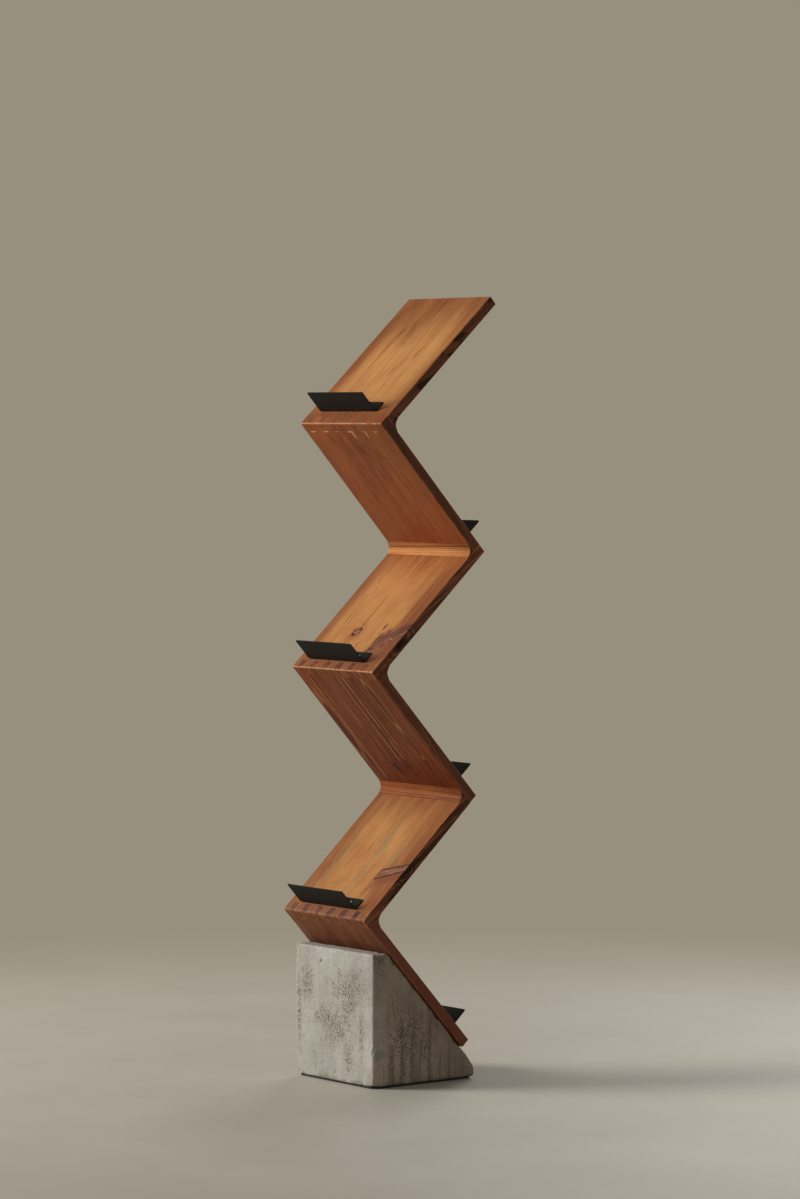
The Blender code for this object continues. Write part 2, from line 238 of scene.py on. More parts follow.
class Skin(Nodes):
    """One material. Places are in the piece's own axes. Its colour is laid on in coats, and plain colours are
    written as they show on screen, from 0 to 255."""

    def __init__(self, name):
        self.material = bpy.data.materials.new(name)
        super().__init__(self.material)
        self.surface = self.tree.nodes["Principled BSDF"]
        coordinates = self.node("TexCoord")
        self.place = coordinates.outputs["Object"]
        self.x, self.y, self.z = self.parts(self.place)
        self.facing = self.parts(coordinates.outputs["Normal"])
        self.colour = None

    def length(self, *values):
        return self.math("SQRT", sum(value * value for value in values))

    def away(self, first, second, middle, halves):
        """Distance from a middle, in half sizes along two directions."""
        return self.length((first - middle[0]) / halves[0], (second - middle[1]) / halves[1])

    def parts(self, vector):
        made = self.node("SeparateXYZ", {0: vector})
        return [Field(self, socket) for socket in made.outputs]

    def joined(self, x, y, z):
        return self.field("CombineXYZ", {0: x, 1: y, 2: z})

    def noise(self, scales, detail=2.0, roughness=0.5, seed=0.0, place=None):
        """Soft noise, mostly within 0.2 of 0, with its own scale along each axis, in waves to the metre."""
        shift = (seed, 2.7 * seed, 5.1 * seed)
        spread = {0: place or self.place, 1: scales, 2: shift}
        shifted = self.field("VectorMath", spread, operation="MULTIPLY_ADD")
        values = {"Vector": shifted, "Scale": 1.0, "Detail": detail, "Roughness": roughness}
        return self.field("TexNoise", values) - 0.5

    def cells(self, scale):
        """Distance to the nearest of many scattered points, in cells."""
        made = self.node("TexVoronoi", {"Vector": self.place, "Scale": scale})
        return Field(self, made.outputs["Distance"])

    def ramp(self, factor, stops):
        made = self.node("ValToRGB", {0: factor})
        elements = made.color_ramp.elements
        while len(elements) < len(stops):
            elements.new(0.5)
        for element, (position, colour) in zip(elements, stops):
            element.position = position
            element.color = colour
        return made.outputs[0]

    def tones(self, tone, colours):
        """Two or three colours from dark to light, for tones round 0."""
        positions = (0.2, 0.5, 0.8) if len(colours) > 2 else (0.3, 0.7)
        stops = [(position, srgb(*colour)) for position, colour in zip(positions, colours)]
        return self.ramp(tone + 0.5, stops)

    def mix(self, share, a, b):
        made = self.node("Mix", {"Factor": share}, data_type="RGBA")
        colours = [srgb(*colour) if isinstance(colour, tuple) else colour for colour in (a, b)]
        self.feed([socket for socket in made.inputs if socket.type == "RGBA"], dict(enumerate(colours)))
        return next(socket for socket in made.outputs if socket.type == "RGBA")

    def paint(self, share, colour):
        """Lays a colour over the coats before it, as strongly as its share says."""
        self.colour = self.mix(share, self.colour, colour)

    def bump(self, height, strength, distance):
        made = self.node("Bump", {"Height": height, "Strength": strength, "Distance": distance})
        self.feed(self.surface.inputs, {"Normal": made.outputs[0]})

    def finish(self, roughness, metallic=0.0, specular=0.5):
        values = {"Base Color": self.colour, "Roughness": roughness, "Metallic": metallic}
        self.feed(self.surface.inputs, values | {"Specular IOR Level": specular})
        return self.material


# Colours of the wood, dark, middle and light, as they show in plain light
HONEY = ((150, 94, 50), (186, 129, 74), (203, 149, 92))
BORDER = ((92, 50, 28), (138, 81, 45), (166, 106, 62))
RED = ((108, 55, 29), (145, 79, 42), (168, 101, 58))
DARK_RED = ((64, 28, 14), (117, 58, 27), (146, 83, 44))
FOOT_RED = ((94, 50, 32), (126, 73, 44), (148, 93, 58))
SIDE = ((56, 32, 23), (114, 68, 46), (166, 104, 72))
RED_SIDE = ((98, 55, 39), (126, 74, 53), (150, 94, 66))
COVE = ((146, 86, 46), (192, 126, 70), (212, 151, 90))
DARK_COVE = ((102, 54, 28), (142, 80, 42), (172, 108, 60))
END_GRAIN = ((72, 42, 33), (102, 63, 49), (130, 84, 62))
OLIVE = (160, 129, 87)
LIGHT_LINE = (196, 138, 92)
DARK_LINE = (68, 33, 20)
GLUE = (210, 154, 104)
FILLER = (232, 184, 126)
# Pale colour of worn edges, also laid on as a painted highlight along rounded edges
WORN_EDGE = (206, 146, 106)
BLACKENED = (36, 21, 16)
KNOT_DARK = (64, 36, 28)
KNOT_RED = (126, 72, 48)
KNOT_EYE = (170, 118, 82)

# One year's ring: pale early wood that darkens to a thin late line
YEAR_RING = [(0.0, (0, 0, 0, 1)), (0.5, (0.1, 0.1, 0.1, 1)), (0.9, (1, 1, 1, 1)), (1.0, (0, 0, 0, 1))]
RING_WIDTH = 0.0042
COVE_RING_WIDTH = 0.0030
COVE_PITH = (0.02, -0.05)

# How far a paled side has turned to honey, and how strongly end grain shows at an end without a joint
PALED = 0.97
OPEN_END = 0.85

# How a box joint shows on one board: whether its outer corner is at the board's front, whether the board has
# the outermost fingers, and how strongly glue, wear with a painted highlight at the corner, end grain, filler
# and the seam at its side show; a dark seam is painted shade in the gap between the boards
Joint = namedtuple(
    "Joint",
    "front outermost glue wear tips filler side_seam seam_colour rounding",
    defaults=(0.0, 0.0, GLUE, BOARD_ROUND),
)

# A knot cut across, and a loop of grain: middle, half sizes across and along the grain, and lean
Knot = namedtuple("Knot", "at size lean strength eye halo", defaults=(1.0, 0.0, KNOT_RED))
Loop = namedtuple("Loop", "at size lean dark light")

# A knot cut lengthwise: where it starts, its slope and half width, and how it tapers and shows
Spike = namedtuple("Spike", "at slope half taper ragged colour fill rim seed")

# A knot that comes out of the near edge: middle and half sizes, along the board and out of it
Burl = namedtuple("Burl", "at size core rings")

# A strip: how brown it is above the middle, and its dark lines by place across it, half width and strength
CoveLook = namedtuple("CoveLook", "wood brown slope foot_line lines", defaults=(0.0, 0.0, 0.3, ()))


def board_look(
    *, seed, pith, lower=None, upper=None,
    contrast=0.8, streaks=0.7, grain=0.35, clouds=0.6, resin=0.25, hairlines=0.18,
    pale_middle=0.0, low_border=0.012, top_border=0.040, ragged=0.07, olive=0.2,
    wood=RED, side=SIDE, blackened=0.1, growth=0.5,
    staves=(), tints=(), lines=(), loops=(), knots=(), spikes=(), burls=(),
):
    """How one board looks: its growth and joints, how strongly the wood's marks show, the paled area, the
    colours of its other side and long edges, and single marks. Places are in the board's axes: across from
    its middle, then up from its lower end."""
    return SimpleNamespace(**locals())


def grown_wood(skin, seed, pith, ring_width, swirl=0.0, contrast=0.8, streaks=0.7, grain=0.0, clouds=0.0):
    """Tone of the wood, from dark below 0 to light above it, and the height of its grain along Y."""
    drift = 0.05 * skin.noise((5, 1.4, 5), seed=seed)
    ripple = 0.008 * skin.noise((24, 4, 24), seed=seed + 3)
    from_pith = skin.length(skin.x - pith[0] + drift, skin.z - pith[1])
    ring = (from_pith + ripple + 0.012 * skin.y + swirl) / ring_width
    late = Field(skin, skin.ramp(skin.math("FRACT", ring), YEAR_RING))
    year = skin.noise((0.6, 1, 1), seed=seed + 5, place=skin.joined(ring, 0.0, 0.0))
    late = late * year.rise(-0.15, 0.2)
    blotch = skin.noise((14, 4.5, 14), 3, 0.55, seed + 7)
    streak = skin.noise((90, 5, 90), 3, 0.6, seed + 11)
    fine = skin.noise((160, 5, 160), 3, 0.7, seed + 13)
    fibre = skin.noise((1100, 40, 1100), 2, 0.6, seed + 17)
    cloud = skin.noise((30, 14, 30), 4, 0.62, seed + 19)
    tone = contrast * (0.8 * blotch + streaks * streak - 0.26 * late + 0.06)
    tone = tone + grain * fine + clouds * cloud + 0.4 * fibre
    height = 0.6 * fibre + 0.5 * late + 0.4 * streak
    return tone, height


def from_knot(skin, knot):
    """How far a point is from a knot's middle, in its half sizes across and along the grain."""
    across = skin.x - knot.lean * (skin.y - knot.at[1])
    return skin.away(across, skin.y, knot.at, knot.size)


def round_knot(skin, knot):
    """A knot cut across: dark, or a dark ring round a paler eye, drawn out along the grain."""
    away = from_knot(skin, knot) + 0.7 * skin.noise((110, 60, 110))
    skin.paint(away.rise(2.2, 0.9) * (0.35 * knot.strength), knot.halo)
    skin.paint(away.rise(1.1, 0.9) * knot.strength, KNOT_DARK)
    skin.paint(away.rise(0.76, 0.50) * knot.eye, KNOT_EYE)


def spike_knot(skin, knot):
    """A knot cut lengthwise: a bar between dark lines that starts along the grain and slants to the edge."""
    x, y = knot.at
    ragged = knot.ragged * skin.noise((90, 45, 90), 3, 0.6, knot.seed)
    past = skin.x - x + ragged
    beside = (skin.y - y - knot.slope * past + 2 * ragged) / (knot.half - knot.taper * past)
    started = past.rise(-0.001, 0.002)
    inside = started * abs(beside).rise(1.1, 0.85)
    rim = started * abs(beside).band(0.92, 0.10, 0.18)
    foot = past.band(0.0, 0.0008, 0.0015) * abs(beside).rise(1.05, 0.9)
    bar = skin.joined(28 * past, 2.6 * beside, 0.0)
    streak = skin.noise((1, 1, 1), 3, 0.6, knot.seed + 4, bar)
    fringe = past.rise(-0.010, 0.012) * abs(beside + 1.0).rise(3.2, 1.0)
    skin.paint(0.75 * fringe, KNOT_RED)
    skin.paint(inside * knot.fill, knot.colour)
    skin.paint(inside * 0.6 * streak.rise(0.02, 0.14), KNOT_DARK)
    skin.paint(inside * 0.5 * streak.rise(-0.04, -0.16), GLUE)
    skin.paint(skin.most(rim, foot) * knot.rim, KNOT_DARK)


def grain_loop(skin, loop):
    """A long narrow loop of grain, dark inside a pale rim."""
    away = from_knot(skin, loop) + 1.2 * skin.noise((70, 14, 70), 3, 0.6, 8)
    streak = skin.noise((300, 9, 300), 2, 0.5, 5)
    inside = away.rise(1.0, 0.6) * streak.rise(-0.2, 0.1)
    skin.paint(loop.dark * inside, DARK_LINE)
    skin.paint(loop.light * away.band(1.1, 0.07, 0.16), LIGHT_LINE)


def soft_tints(skin, tints, where, wander):
    """Broad soft areas of another colour, by their middle, half sizes, strength and colour."""
    for middle, halves, strength, colour in tints:
        away = skin.away(skin.x, skin.y, middle, halves) + wander
        skin.paint(where * away.rise(1.4, 0.4) * strength, colour)


def grain_lines(skin, lines):
    """Fine lines along the grain, given by place across, start, end, half width, strength and colour."""
    wander = 0.010 * skin.noise((4, 7, 4), seed=2)
    broken = skin.noise((30, 26, 30), 2, 0.5, 6).rise(-0.16, 0.0)
    for x, low, high, half, strength, colour in lines:
        line = (skin.x + wander).band(x, half, half) * skin.y.between(low, high, 0.012)
        skin.paint(line * broken * strength, colour)


def long_edges(skin, tone, look, at_side):
    """The long edges: brown with fine growth lines, and blackened in long patches."""
    bend = 0.010 * skin.noise((0, 6, 30), seed=look.seed + 61) + 0.14 * skin.y
    across = skin.joined(0.0, skin.y, skin.z + bend)
    lines = skin.noise((1, 4, 360), 1, 0.5, look.seed + 63, across)
    edge_tone = 0.4 * tone + look.growth * lines + 0.02
    skin.paint(0.97 * at_side, skin.tones(edge_tone, look.side))
    slanted = skin.joined(skin.x, skin.y + 1.2 * skin.z, skin.z)
    patch = skin.noise((12, 20, 26), 3, 0.6, look.seed + 67, slanted)
    skin.paint(at_side * look.blackened * patch.rise(0.02, 0.10), BLACKENED)


def side_burl(skin, at_side, burl):
    """Where a knot comes out of the near edge: nearly black, with rings round it."""
    wander = 0.9 * skin.noise((60, 60, 60), 3, 0.6, 9)
    away = skin.away(skin.y, skin.z, burl.at, burl.size) + wander
    rings = skin.math("SINE", 11 * away).rise(-0.3, 0.7)
    near_edge = at_side * skin.x.rise(0.0, 0.01)
    skin.paint(near_edge * away.rise(2.4, 1.2) * burl.rings * rings, BLACKENED)
    skin.paint(near_edge * away.rise(0.75, 0.45) * burl.core, BLACKENED)


def joint_marks(skin, sizes, look, at_side):
    """Glue between the fingers, pale filler at the feet of sockets, and the outer corner worn pale and lit
    by a painted highlight. A dark seam at the side is painted shade in the gap between the boards.
    """
    width, length, thickness = sizes
    pitch = width / FINGER_COUNT
    along = skin.x + (width / 2 + FINGER_OFFSET)
    seam = skin.math("PINGPONG", along, pitch / 2).rise(0.0014, 0.0005)
    broken = skin.noise((70, 70, 70), 3, 0.6, look.seed + 29).rise(-0.12, 0.06)
    rubbed = skin.noise((60, 200, 200), 3, 0.6, look.seed + 31).rise(-0.22, 0.06)
    flat = 1.0 - at_side
    for end, joint in ((0.0, look.lower), (length, look.upper)):
        if not joint:
            continue
        from_end = abs(skin.y - end)
        in_joint = from_end.rise(thickness + 0.0006, thickness)
        skin.paint(seam * in_joint * flat * broken * joint.glue, GLUE)
        # The outer corner: pale from wear, and a painted highlight on its rounded edge
        from_corner = skin.length(from_end, skin.z - (0.0 if joint.front else -thickness))
        skin.paint(from_corner.rise(0.0034, 0.0012) * rubbed * flat * joint.wear, WORN_EDGE)
        # A seam at the side where the joint starts: glue, or in a dark colour painted shade in the gap
        # between the boards
        foot = from_end.band(thickness, 0.0005, 0.0005) * at_side
        skin.paint(foot * joint.side_seam, joint.seam_colour)
        if joint.filler:
            first = 1.5 if joint.outermost else 0.5
            from_socket = skin.math("PINGPONG", along - first * pitch, pitch)
            dash = from_socket.rise(0.46 * pitch, 0.36 * pitch)
            dash = dash * from_end.band(thickness + 0.0012, 0.0008, 0.0009)
            dash = dash * skin.facing[2].rise(0.5, 0.9) * broken
            skin.paint(dash * joint.filler, FILLER)


def board_material(number, sizes, look):
    """Oiled wood of one board, in the board's axes: X across, Y up its length, Z out of its front."""
    width, length, _ = sizes
    half = width / 2
    skin = Skin(f"oiled_wood_{number}")
    seed = look.seed

    # The rings bend round knots and jump where two staves are glued together
    swirl = sum(0.006 * from_knot(skin, knot).rise(3.2, 0.2) for knot in look.knots)
    stave = sum(shift * skin.x.rise(place - 0.0002, place + 0.0002) for place, shift in look.staves)
    strengths = (look.contrast, look.streaks, look.grain, look.clouds)
    tone, height = grown_wood(skin, seed, look.pith, RING_WIDTH, swirl + 0.09 * stave, *strengths)
    tone = tone + stave

    # The side that shows magazines has paled to honey, away from its edges
    wobble = 0.06 * skin.noise((20, 3, 20), 3, 0.6, seed + 23)
    wobble = wobble + look.ragged * skin.noise((110, 4, 110), 2, 0.6, seed + 25)
    from_middle = abs(skin.x - look.pale_middle) + wobble
    front = skin.facing[2].rise(0.3, 0.7)
    shows = front if number % 2 else (-skin.facing[2]).rise(0.3, 0.7)
    low, top = look.low_border, look.top_border
    pale = from_middle.rise(half, half - 0.055) * (skin.y + 0.5 * wobble).rise(low, low + 0.03)
    pale = pale * (skin.y + wobble).rise(length - 0.1 * top, length - 2.4 * top) * shows
    honey = skin.tones(tone, HONEY)
    tan = skin.noise((20, 4.5, 20), 2, 0.5, seed + 41)
    honey = skin.mix(look.olive * tan.rise(-0.02, 0.2), honey, OLIVE)
    skin.colour = skin.mix(shows, skin.tones(tone, look.wood), skin.tones(tone, BORDER))
    skin.paint(pale * PALED, honey)
    soft_tints(skin, look.tints, front, 12 * wobble)

    # Resin streaks, lines and knots
    resin = skin.noise((480, 8, 480), 2, 0.5, seed + 43)
    skin.paint(look.resin * resin.rise(0.12, 0.24), DARK_LINE)
    hair = skin.noise((330, 2.4, 330), 1, 0.5, seed + 45)
    skin.paint(look.hairlines * hair.rise(0.15, 0.25), LIGHT_LINE)
    skin.paint(look.hairlines * hair.rise(-0.15, -0.25), DARK_LINE)
    grain_lines(skin, look.lines)
    for place, _ in look.staves:
        skin.paint(0.55 * skin.x.band(place, 0.0003, 0.0004), DARK_LINE)
    for draw, marks in ((grain_loop, look.loops), (round_knot, look.knots), (spike_knot, look.spikes)):
        for mark in marks:
            draw(skin, mark)

    # End grain, a little different from finger to finger, and the dark long edges
    finger = skin.math("FLOOR", (skin.x + (half + FINGER_OFFSET)) * (FINGER_COUNT / width))
    lot = skin.noise((3.7, 1, 1), seed=seed + 47, place=skin.joined(finger, 0.0, 0.0))
    end_grain = skin.tones(1.4 * tone + 1.2 * lot, END_GRAIN)
    for joint, side in ((look.lower, -1.0), (look.upper, 1.0)):
        share = joint.tips if joint else OPEN_END
        skin.paint((skin.facing[1] * side).rise(0.5, 0.85) * share, end_grain)
    at_side = abs(skin.facing[0]).rise(0.45, 0.85)
    long_edges(skin, tone, look, at_side)
    for burl in look.burls:
        side_burl(skin, at_side, burl)
    joint_marks(skin, sizes, look, at_side)

    # Long front edges rubbed pale, and a painted highlight along their rounding
    from_edge = skin.length(abs(skin.x) - half, skin.z)
    rubbed = skin.noise((40, 40, 40), 3, 0.6, seed + 53).rise(-0.15, 0.1)
    skin.paint(0.3 * from_edge.rise(0.0030, 0.0012) * rubbed, WORN_EDGE)

    skin.bump(height, 0.35, 0.0004)
    gloss = skin.noise((40, 6, 40), 2, 0.5, seed + 37)
    return skin.finish(0.55 + 0.25 * gloss, specular=0.16)


def cove_material(number, look):
    """Wood whose grain runs along the strip, browner above a few dark lines, and a dark line along one long
    edge that is painted shade in the gap to the board.
    """
    skin = Skin(f"honey_wood_{number}")
    seed = 40.0 + 5.0 * number
    tone, height = grown_wood(skin, seed, COVE_PITH, COVE_RING_WIDTH)
    skin.colour = skin.tones(tone, look.wood)
    wander = 0.004 * skin.noise((0, 8, 0), seed=seed)
    across = skin.x - look.slope * skin.y + wander
    skin.paint(look.brown * across.rise(-0.004, -0.007), skin.tones(tone, BORDER))
    for place, half, strength in look.lines:
        skin.paint(strength * across.band(place, half, half), DARK_LINE)
    # A dark line along one long edge: painted shade in the gap between the strip and the board
    foot = skin.x.rise(COVE_REACH * 0.66, COVE_REACH * 0.70)
    skin.paint(look.foot_line * foot, DARK_LINE)
    at_end = abs(skin.facing[1]).rise(0.5, 0.85)
    skin.paint(0.95 * at_end, skin.tones(tone, SIDE))
    skin.bump(height, 0.3, 0.0003)
    return skin.finish(0.62 + 0.2 * tone, specular=0.12)


def holder_material():
    """Matt black powder coat with a fine orange-peel skin, slightly worn."""
    skin = Skin("black_powder_coat")
    peel = skin.noise((900, 900, 900))
    dust = skin.noise((30, 30, 30), 4, 0.6)
    skin.colour = skin.tones(dust, ((18, 18, 18), (24, 23, 23), (31, 30, 30)))
    skin.bump(peel, 0.15, 0.0002)
    return skin.finish(0.55 + 0.2 * dust, specular=0.14)


def steel_material(name, dark, light, roughness):
    """Plated steel with turning marks round its axis."""
    skin = Skin(name)
    marks = skin.math("SINE", 9000 * skin.length(skin.x, skin.y))
    spots = skin.noise((700, 700, 700), 3, 0.6)
    skin.colour = skin.tones(spots, (dark, light))
    skin.bump(0.3 * marks + spots, 0.1, 0.0001)
    return skin.finish(roughness + 0.2 * spots, metallic=1.0)


def rubber_material():
    skin = Skin("matt_rubber")
    grain = skin.noise((500, 500, 500), 3, 0.6)
    skin.colour = skin.tones(grain, ((44, 41, 37), (64, 60, 54)))
    skin.bump(grain, 0.3, 0.0003)
    return skin.finish(0.82 + 0.15 * grain, specular=0.3)


# Where the casting is roughest: middle of each rough patch and its half sizes, across and up
FRONT_ROUGH = (
    ((0.050, 0.186), (0.056, 0.036)),
    ((0.010, 0.114), (0.060, 0.040)),
    ((-0.022, 0.122), (0.036, 0.030)),
    ((0.046, 0.150), (0.030, 0.034)),
    ((0.045, 0.060), (0.016, 0.046)),
    ((0.088, 0.098), (0.013, 0.042)),
    ((-0.090, 0.190), (0.020, 0.036)),
    ((-0.114, 0.140), (0.010, 0.080)),
)
SIDE_ROUGH = (
    ((-0.034, 0.098), (0.060, 0.060)),
    ((-0.108, 0.246), (0.026, 0.022)),
    ((-0.080, 0.045), (0.012, 0.050)),
    ((-0.054, 0.070), (0.010, 0.080)),
    ((-0.029, 0.045), (0.010, 0.060)),
    ((0.013, 0.062), (0.009, 0.076)),
)

# Where water ran down the sides of the casting: place along them, half width and height of the start
DRIPS = (
    (-0.080, 0.0050, 0.105),
    (-0.055, 0.0035, 0.165),
    (-0.029, 0.0030, 0.125),
    (0.013, 0.0025, 0.155),
)
MIDDLING_DRIP = 0.0035

# A greenish spot on the sides of the casting, and a crack in its front
GREEN_PLACE = (-0.104, 0.067)
GREEN_HALVES = (0.018, 0.011)
CRACK_PLACE = 0.087

# Colours of the casting, dark, middle and light
FRONT_GREY = ((140, 137, 129), (176, 174, 166), (199, 198, 191))
SIDE_GREY = ((120, 106, 92), (170, 155, 139), (198, 184, 169))


def rough_patches(skin, across, patches, wander):
    """1 in the middle of the patches of one face, fading unevenly to 0 round them."""
    aways = [skin.away(across, skin.z, *patch) + wander for patch in patches]
    return skin.most(*(away.rise(1.7, 0.2) for away in aways))


def concrete_material(low, high):
    """Cast concrete: mottled grey, browner at the sides, with rough speckled patches, stains and pores."""
    skin = Skin("cast_concrete")
    clouds = skin.noise((11, 11, 8), 4, 0.55)
    mottle = skin.noise((70, 70, 50), 5, 0.65, 2)
    sand = skin.noise((520, 520, 420), 3, 0.6, 4)
    tone = 0.7 * clouds + 0.35 * mottle + 0.8 * sand
    on_front = (-skin.facing[1]).rise(0.4, 0.8)
    on_side = abs(skin.facing[0]).rise(0.4, 0.8)
    on_top = skin.facing[2].rise(0.8, 0.95)
    skin.colour = skin.tones(tone, FRONT_GREY)
    skin.paint(on_side, skin.tones(tone, SIDE_GREY))
    skin.paint(0.6 * on_top, (150, 139, 132))

    # Stains that ran down the faces, and the rough patches
    stain = skin.noise((95, 95, 6), 4, 0.65, 8)
    low_down = (skin.z + 0.2 * clouds).rise(0.20, 0.09)
    run = stain.rise(0.01, 0.14) * (0.06 + 0.15 * on_side + 0.35 * on_side * low_down)
    skin.paint(run, (104, 88, 70))
    wander = 2.6 * skin.noise((60, 60, 36), 5, 0.7, 6)
    for place, half, start in DRIPS:
        drip = (skin.y + 0.010 * wander * half / MIDDLING_DRIP).band(place, half, half)
        drip = drip * (skin.z + 0.02 * wander).rise(start, start - 0.05)
        skin.paint(0.38 * on_side * drip, (96, 82, 68))
    rough_front = on_front * rough_patches(skin, skin.x, FRONT_ROUGH, wander)
    rough = skin.most(rough_front, on_side * rough_patches(skin, skin.y, SIDE_ROUGH, wander))
    skin.paint(rough * (0.25 - 0.13 * on_side), (146, 124, 106))
    green = skin.away(skin.y, skin.z, GREEN_PLACE, GREEN_HALVES) + 0.8 * wander
    skin.paint(0.6 * on_side * green.rise(1.2, 0.5), (122, 140, 126))

    # Specks, thick in the rough patches, a crack near the foot, and pores
    specks = skin.noise((560, 360, 240), 3, 0.75, 10)
    dark = (specks + 0.11 * rough + 0.02 * on_side).rise(0.14, 0.19)
    dark = dark * (0.35 + (0.60 - 0.12 * on_side) * rough)
    skin.paint(dark, (82, 65, 52))
    light = skin.noise((560, 360, 240), 3, 0.65, 14).rise(0.08, 0.18)
    skin.paint(light * (0.12 + 0.60 * rough + 0.06 * on_side), (220, 215, 204))
    crack = (skin.x + 0.03 * mottle).band(CRACK_PLACE, 0.0006, 0.0008) * skin.z.rise(0.024, 0.018)
    pores = skin.cells(120).rise(0.13, 0.06) * skin.noise((30, 30, 30), seed=12).rise(0.02, 0.12)
    marks = skin.most(0.6 * pores, 0.7 * crack * on_front)
    skin.paint(marks, (84, 74, 62))

    # Upright edges worn pale, and the colour darker towards the foot
    from_edge = skin.length(abs(skin.x) - high.x, skin.y - low.y)
    skin.paint(0.45 * from_edge.rise(0.006, 0.002), (200, 193, 183))
    dirt = (skin.z + 0.03 * mottle).rise(0.012, 0.003)
    skin.paint(0.45 * dirt, (104, 94, 80))
    skin.bump(0.3 * sand + 0.6 * mottle - 1.2 * marks - 0.8 * dark, 0.6, 0.0012)
    return skin.finish(0.87 + 0.15 * mottle, specular=0.2)


def floor_material():
    """Pale and dusty near the object, fading away into the background."""
    skin = Skin("pale_floor")
    dust = skin.noise((3, 3, 3), 4, 0.6)
    skin.colour = skin.tones(dust, ((178, 173, 163), (186, 182, 172)))
    skin.finish(0.5, specular=0.3)
    fade = skin.length(skin.x, skin.y).rise(*FLOOR_FADE)
    skin.blend(fade, skin.surface, skin.node("BsdfTransparent"), "Material Output")
    return skin.material


def extent(node, direction):
    values = [vertex.co.dot(direction) for vertex in node.data.vertices]
    return min(values), max(values)


def near(first, second):
    return abs(first - second) < TOLERANCE


def own_axes(node, up, front, anchor):
    """Axes of a piece: X across, Y up and Z out of its front. Anchor places the origin within the node's
    extent along each of them, from 0 to 1."""
    directions = (up.cross(front), up, front)
    origin = Vector()
    for direction, share in zip(directions, anchor):
        low, high = extent(node, direction)
        origin += direction * (low + share * (high - low))
    return Matrix.Translation(origin) @ Matrix(directions).transposed().to_4x4()


def copied(node, axes):
    """A node's shape in a piece's axes, welded, with its flat faces whole."""
    shape = bmesh.new()
    shape.from_mesh(node.data)
    shape.transform(axes.inverted())
    bmesh.ops.remove_doubles(shape, verts=shape.verts, dist=WELD_DISTANCE)
    bmesh.ops.dissolve_limit(shape, angle_limit=FLAT_ANGLE, verts=shape.verts, edges=shape.edges)
    return shape


def rounded(shape, edges, radius, steps):
    settings = {"profile": 0.5, "affect": "EDGES", "clamp_overlap": True, "loop_slide": True}
    bmesh.ops.bevel(shape, geom=edges, offset=radius, segments=steps, **settings)


def mesh_of(name, shape):
    mesh = bpy.data.meshes.new(name)
    shape.to_mesh(mesh)
    shape.free()
    return mesh


def smoothed(mesh):
    """The mesh shaded smoothly, with its sharp edges kept."""
    mesh.shade_smooth()
    mesh.set_sharp_from_angle(angle=SHARP_ANGLE)
    return mesh


def placed(name, data):
    """A new object in the scene."""
    item = bpy.data.objects.new(name, data)
    bpy.context.scene.collection.objects.link(item)
    return item


def applied(item):
    """The mesh of an object with its modifiers applied. The object goes."""
    graph = bpy.context.evaluated_depsgraph_get()
    mesh = bpy.data.meshes.new_from_object(item.evaluated_get(graph))
    bpy.data.objects.remove(item)
    return mesh


def add_piece(name, mesh, axes, material, slot, *replaced):
    mesh.materials.clear()
    mesh.materials.append(material)
    piece = placed(name, mesh)
    piece.matrix_world = axes
    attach(piece, "root")
    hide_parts(*replaced)
    return piece


def add_rounded(piece_name, name, axes, edges_of, radius, material, slot):
    """A piece with a node's shape, rounded along some of its edges."""
    shape = copied(nodes[name], axes)
    rounded(shape, edges_of(shape), radius, SMALL_ROUND_STEPS)
    return add_piece(piece_name, smoothed(mesh_of(name, shape)), axes, material, slot, name)


def keep_flats(piece):
    """Keeps large flat faces flat where they meet rounded edges."""
    weighted = piece.modifiers.new("Flat faces", "WEIGHTED_NORMAL")
    weighted.keep_sharp = True


def carved(name, shape, cutters):
    """A mesh with other shapes cut out of it."""
    body = placed(name, smoothed(mesh_of(name, shape)))
    tools = [placed(f"{name}_cutter", smoothed(mesh_of(f"{name}_cutter", cutter))) for cutter in cutters]
    for tool in tools:
        boolean = body.modifiers.new("Cut", "BOOLEAN")
        boolean.operation = "DIFFERENCE"
        boolean.object = tool
    mesh = applied(body)
    for tool in tools:
        bpy.data.objects.remove(tool)
    return smoothed(mesh)


def board_grid(sizes, lower, upper):
    """A board as a grid of cells, whole between its ends and with every other finger at a jointed end."""
    width, length, thickness = sizes
    covered = thickness + COVE_REACH
    pitch = width / FINGER_COUNT
    seams = [i * pitch - width / 2 - FINGER_OFFSET for i in range(1, FINGER_COUNT)]
    columns = [-width / 2, *seams, width / 2]
    rows = [0.0, thickness, covered, length - covered, length - thickness, length]
    ends = {0: lower, len(rows) - 2: upper}
    shape = bmesh.new()
    corners = {}

    def corner(column, row, z):
        key = (column, row, z)
        if key not in corners:
            corners[key] = shape.verts.new((columns[column], rows[row], z))
        return corners[key]

    def filled(column, row):
        if not (0 <= column < FINGER_COUNT and 0 <= row < len(rows) - 1):
            return False
        joint = ends.get(row)
        return not joint or (column % 2 == 0) == joint.outermost

    for column in range(FINGER_COUNT):
        for row in range(len(rows) - 1):
            if not filled(column, row):
                continue
            loop = [(column, row), (column + 1, row), (column + 1, row + 1), (column, row + 1)]
            shape.faces.new([corner(*point, 0.0) for point in loop])
            shape.faces.new([corner(*point, -thickness) for point in reversed(loop)])
            beyond = [(column, row - 1), (column + 1, row), (column, row + 1), (column - 1, row)]
            for i in range(len(loop)):
                if filled(*beyond[i]):
                    continue
                start, end = loop[i], loop[(i + 1) % len(loop)]
                wall = ((end, 0.0), (start, 0.0), (start, -thickness), (end, -thickness))
                shape.faces.new([corner(*point, z) for point, z in wall])
    return shape


def is_outer(joint, at_front):
    """Whether the front or back of a board is on the outside of the zigzag at one end."""
    return not joint or joint.front == at_front


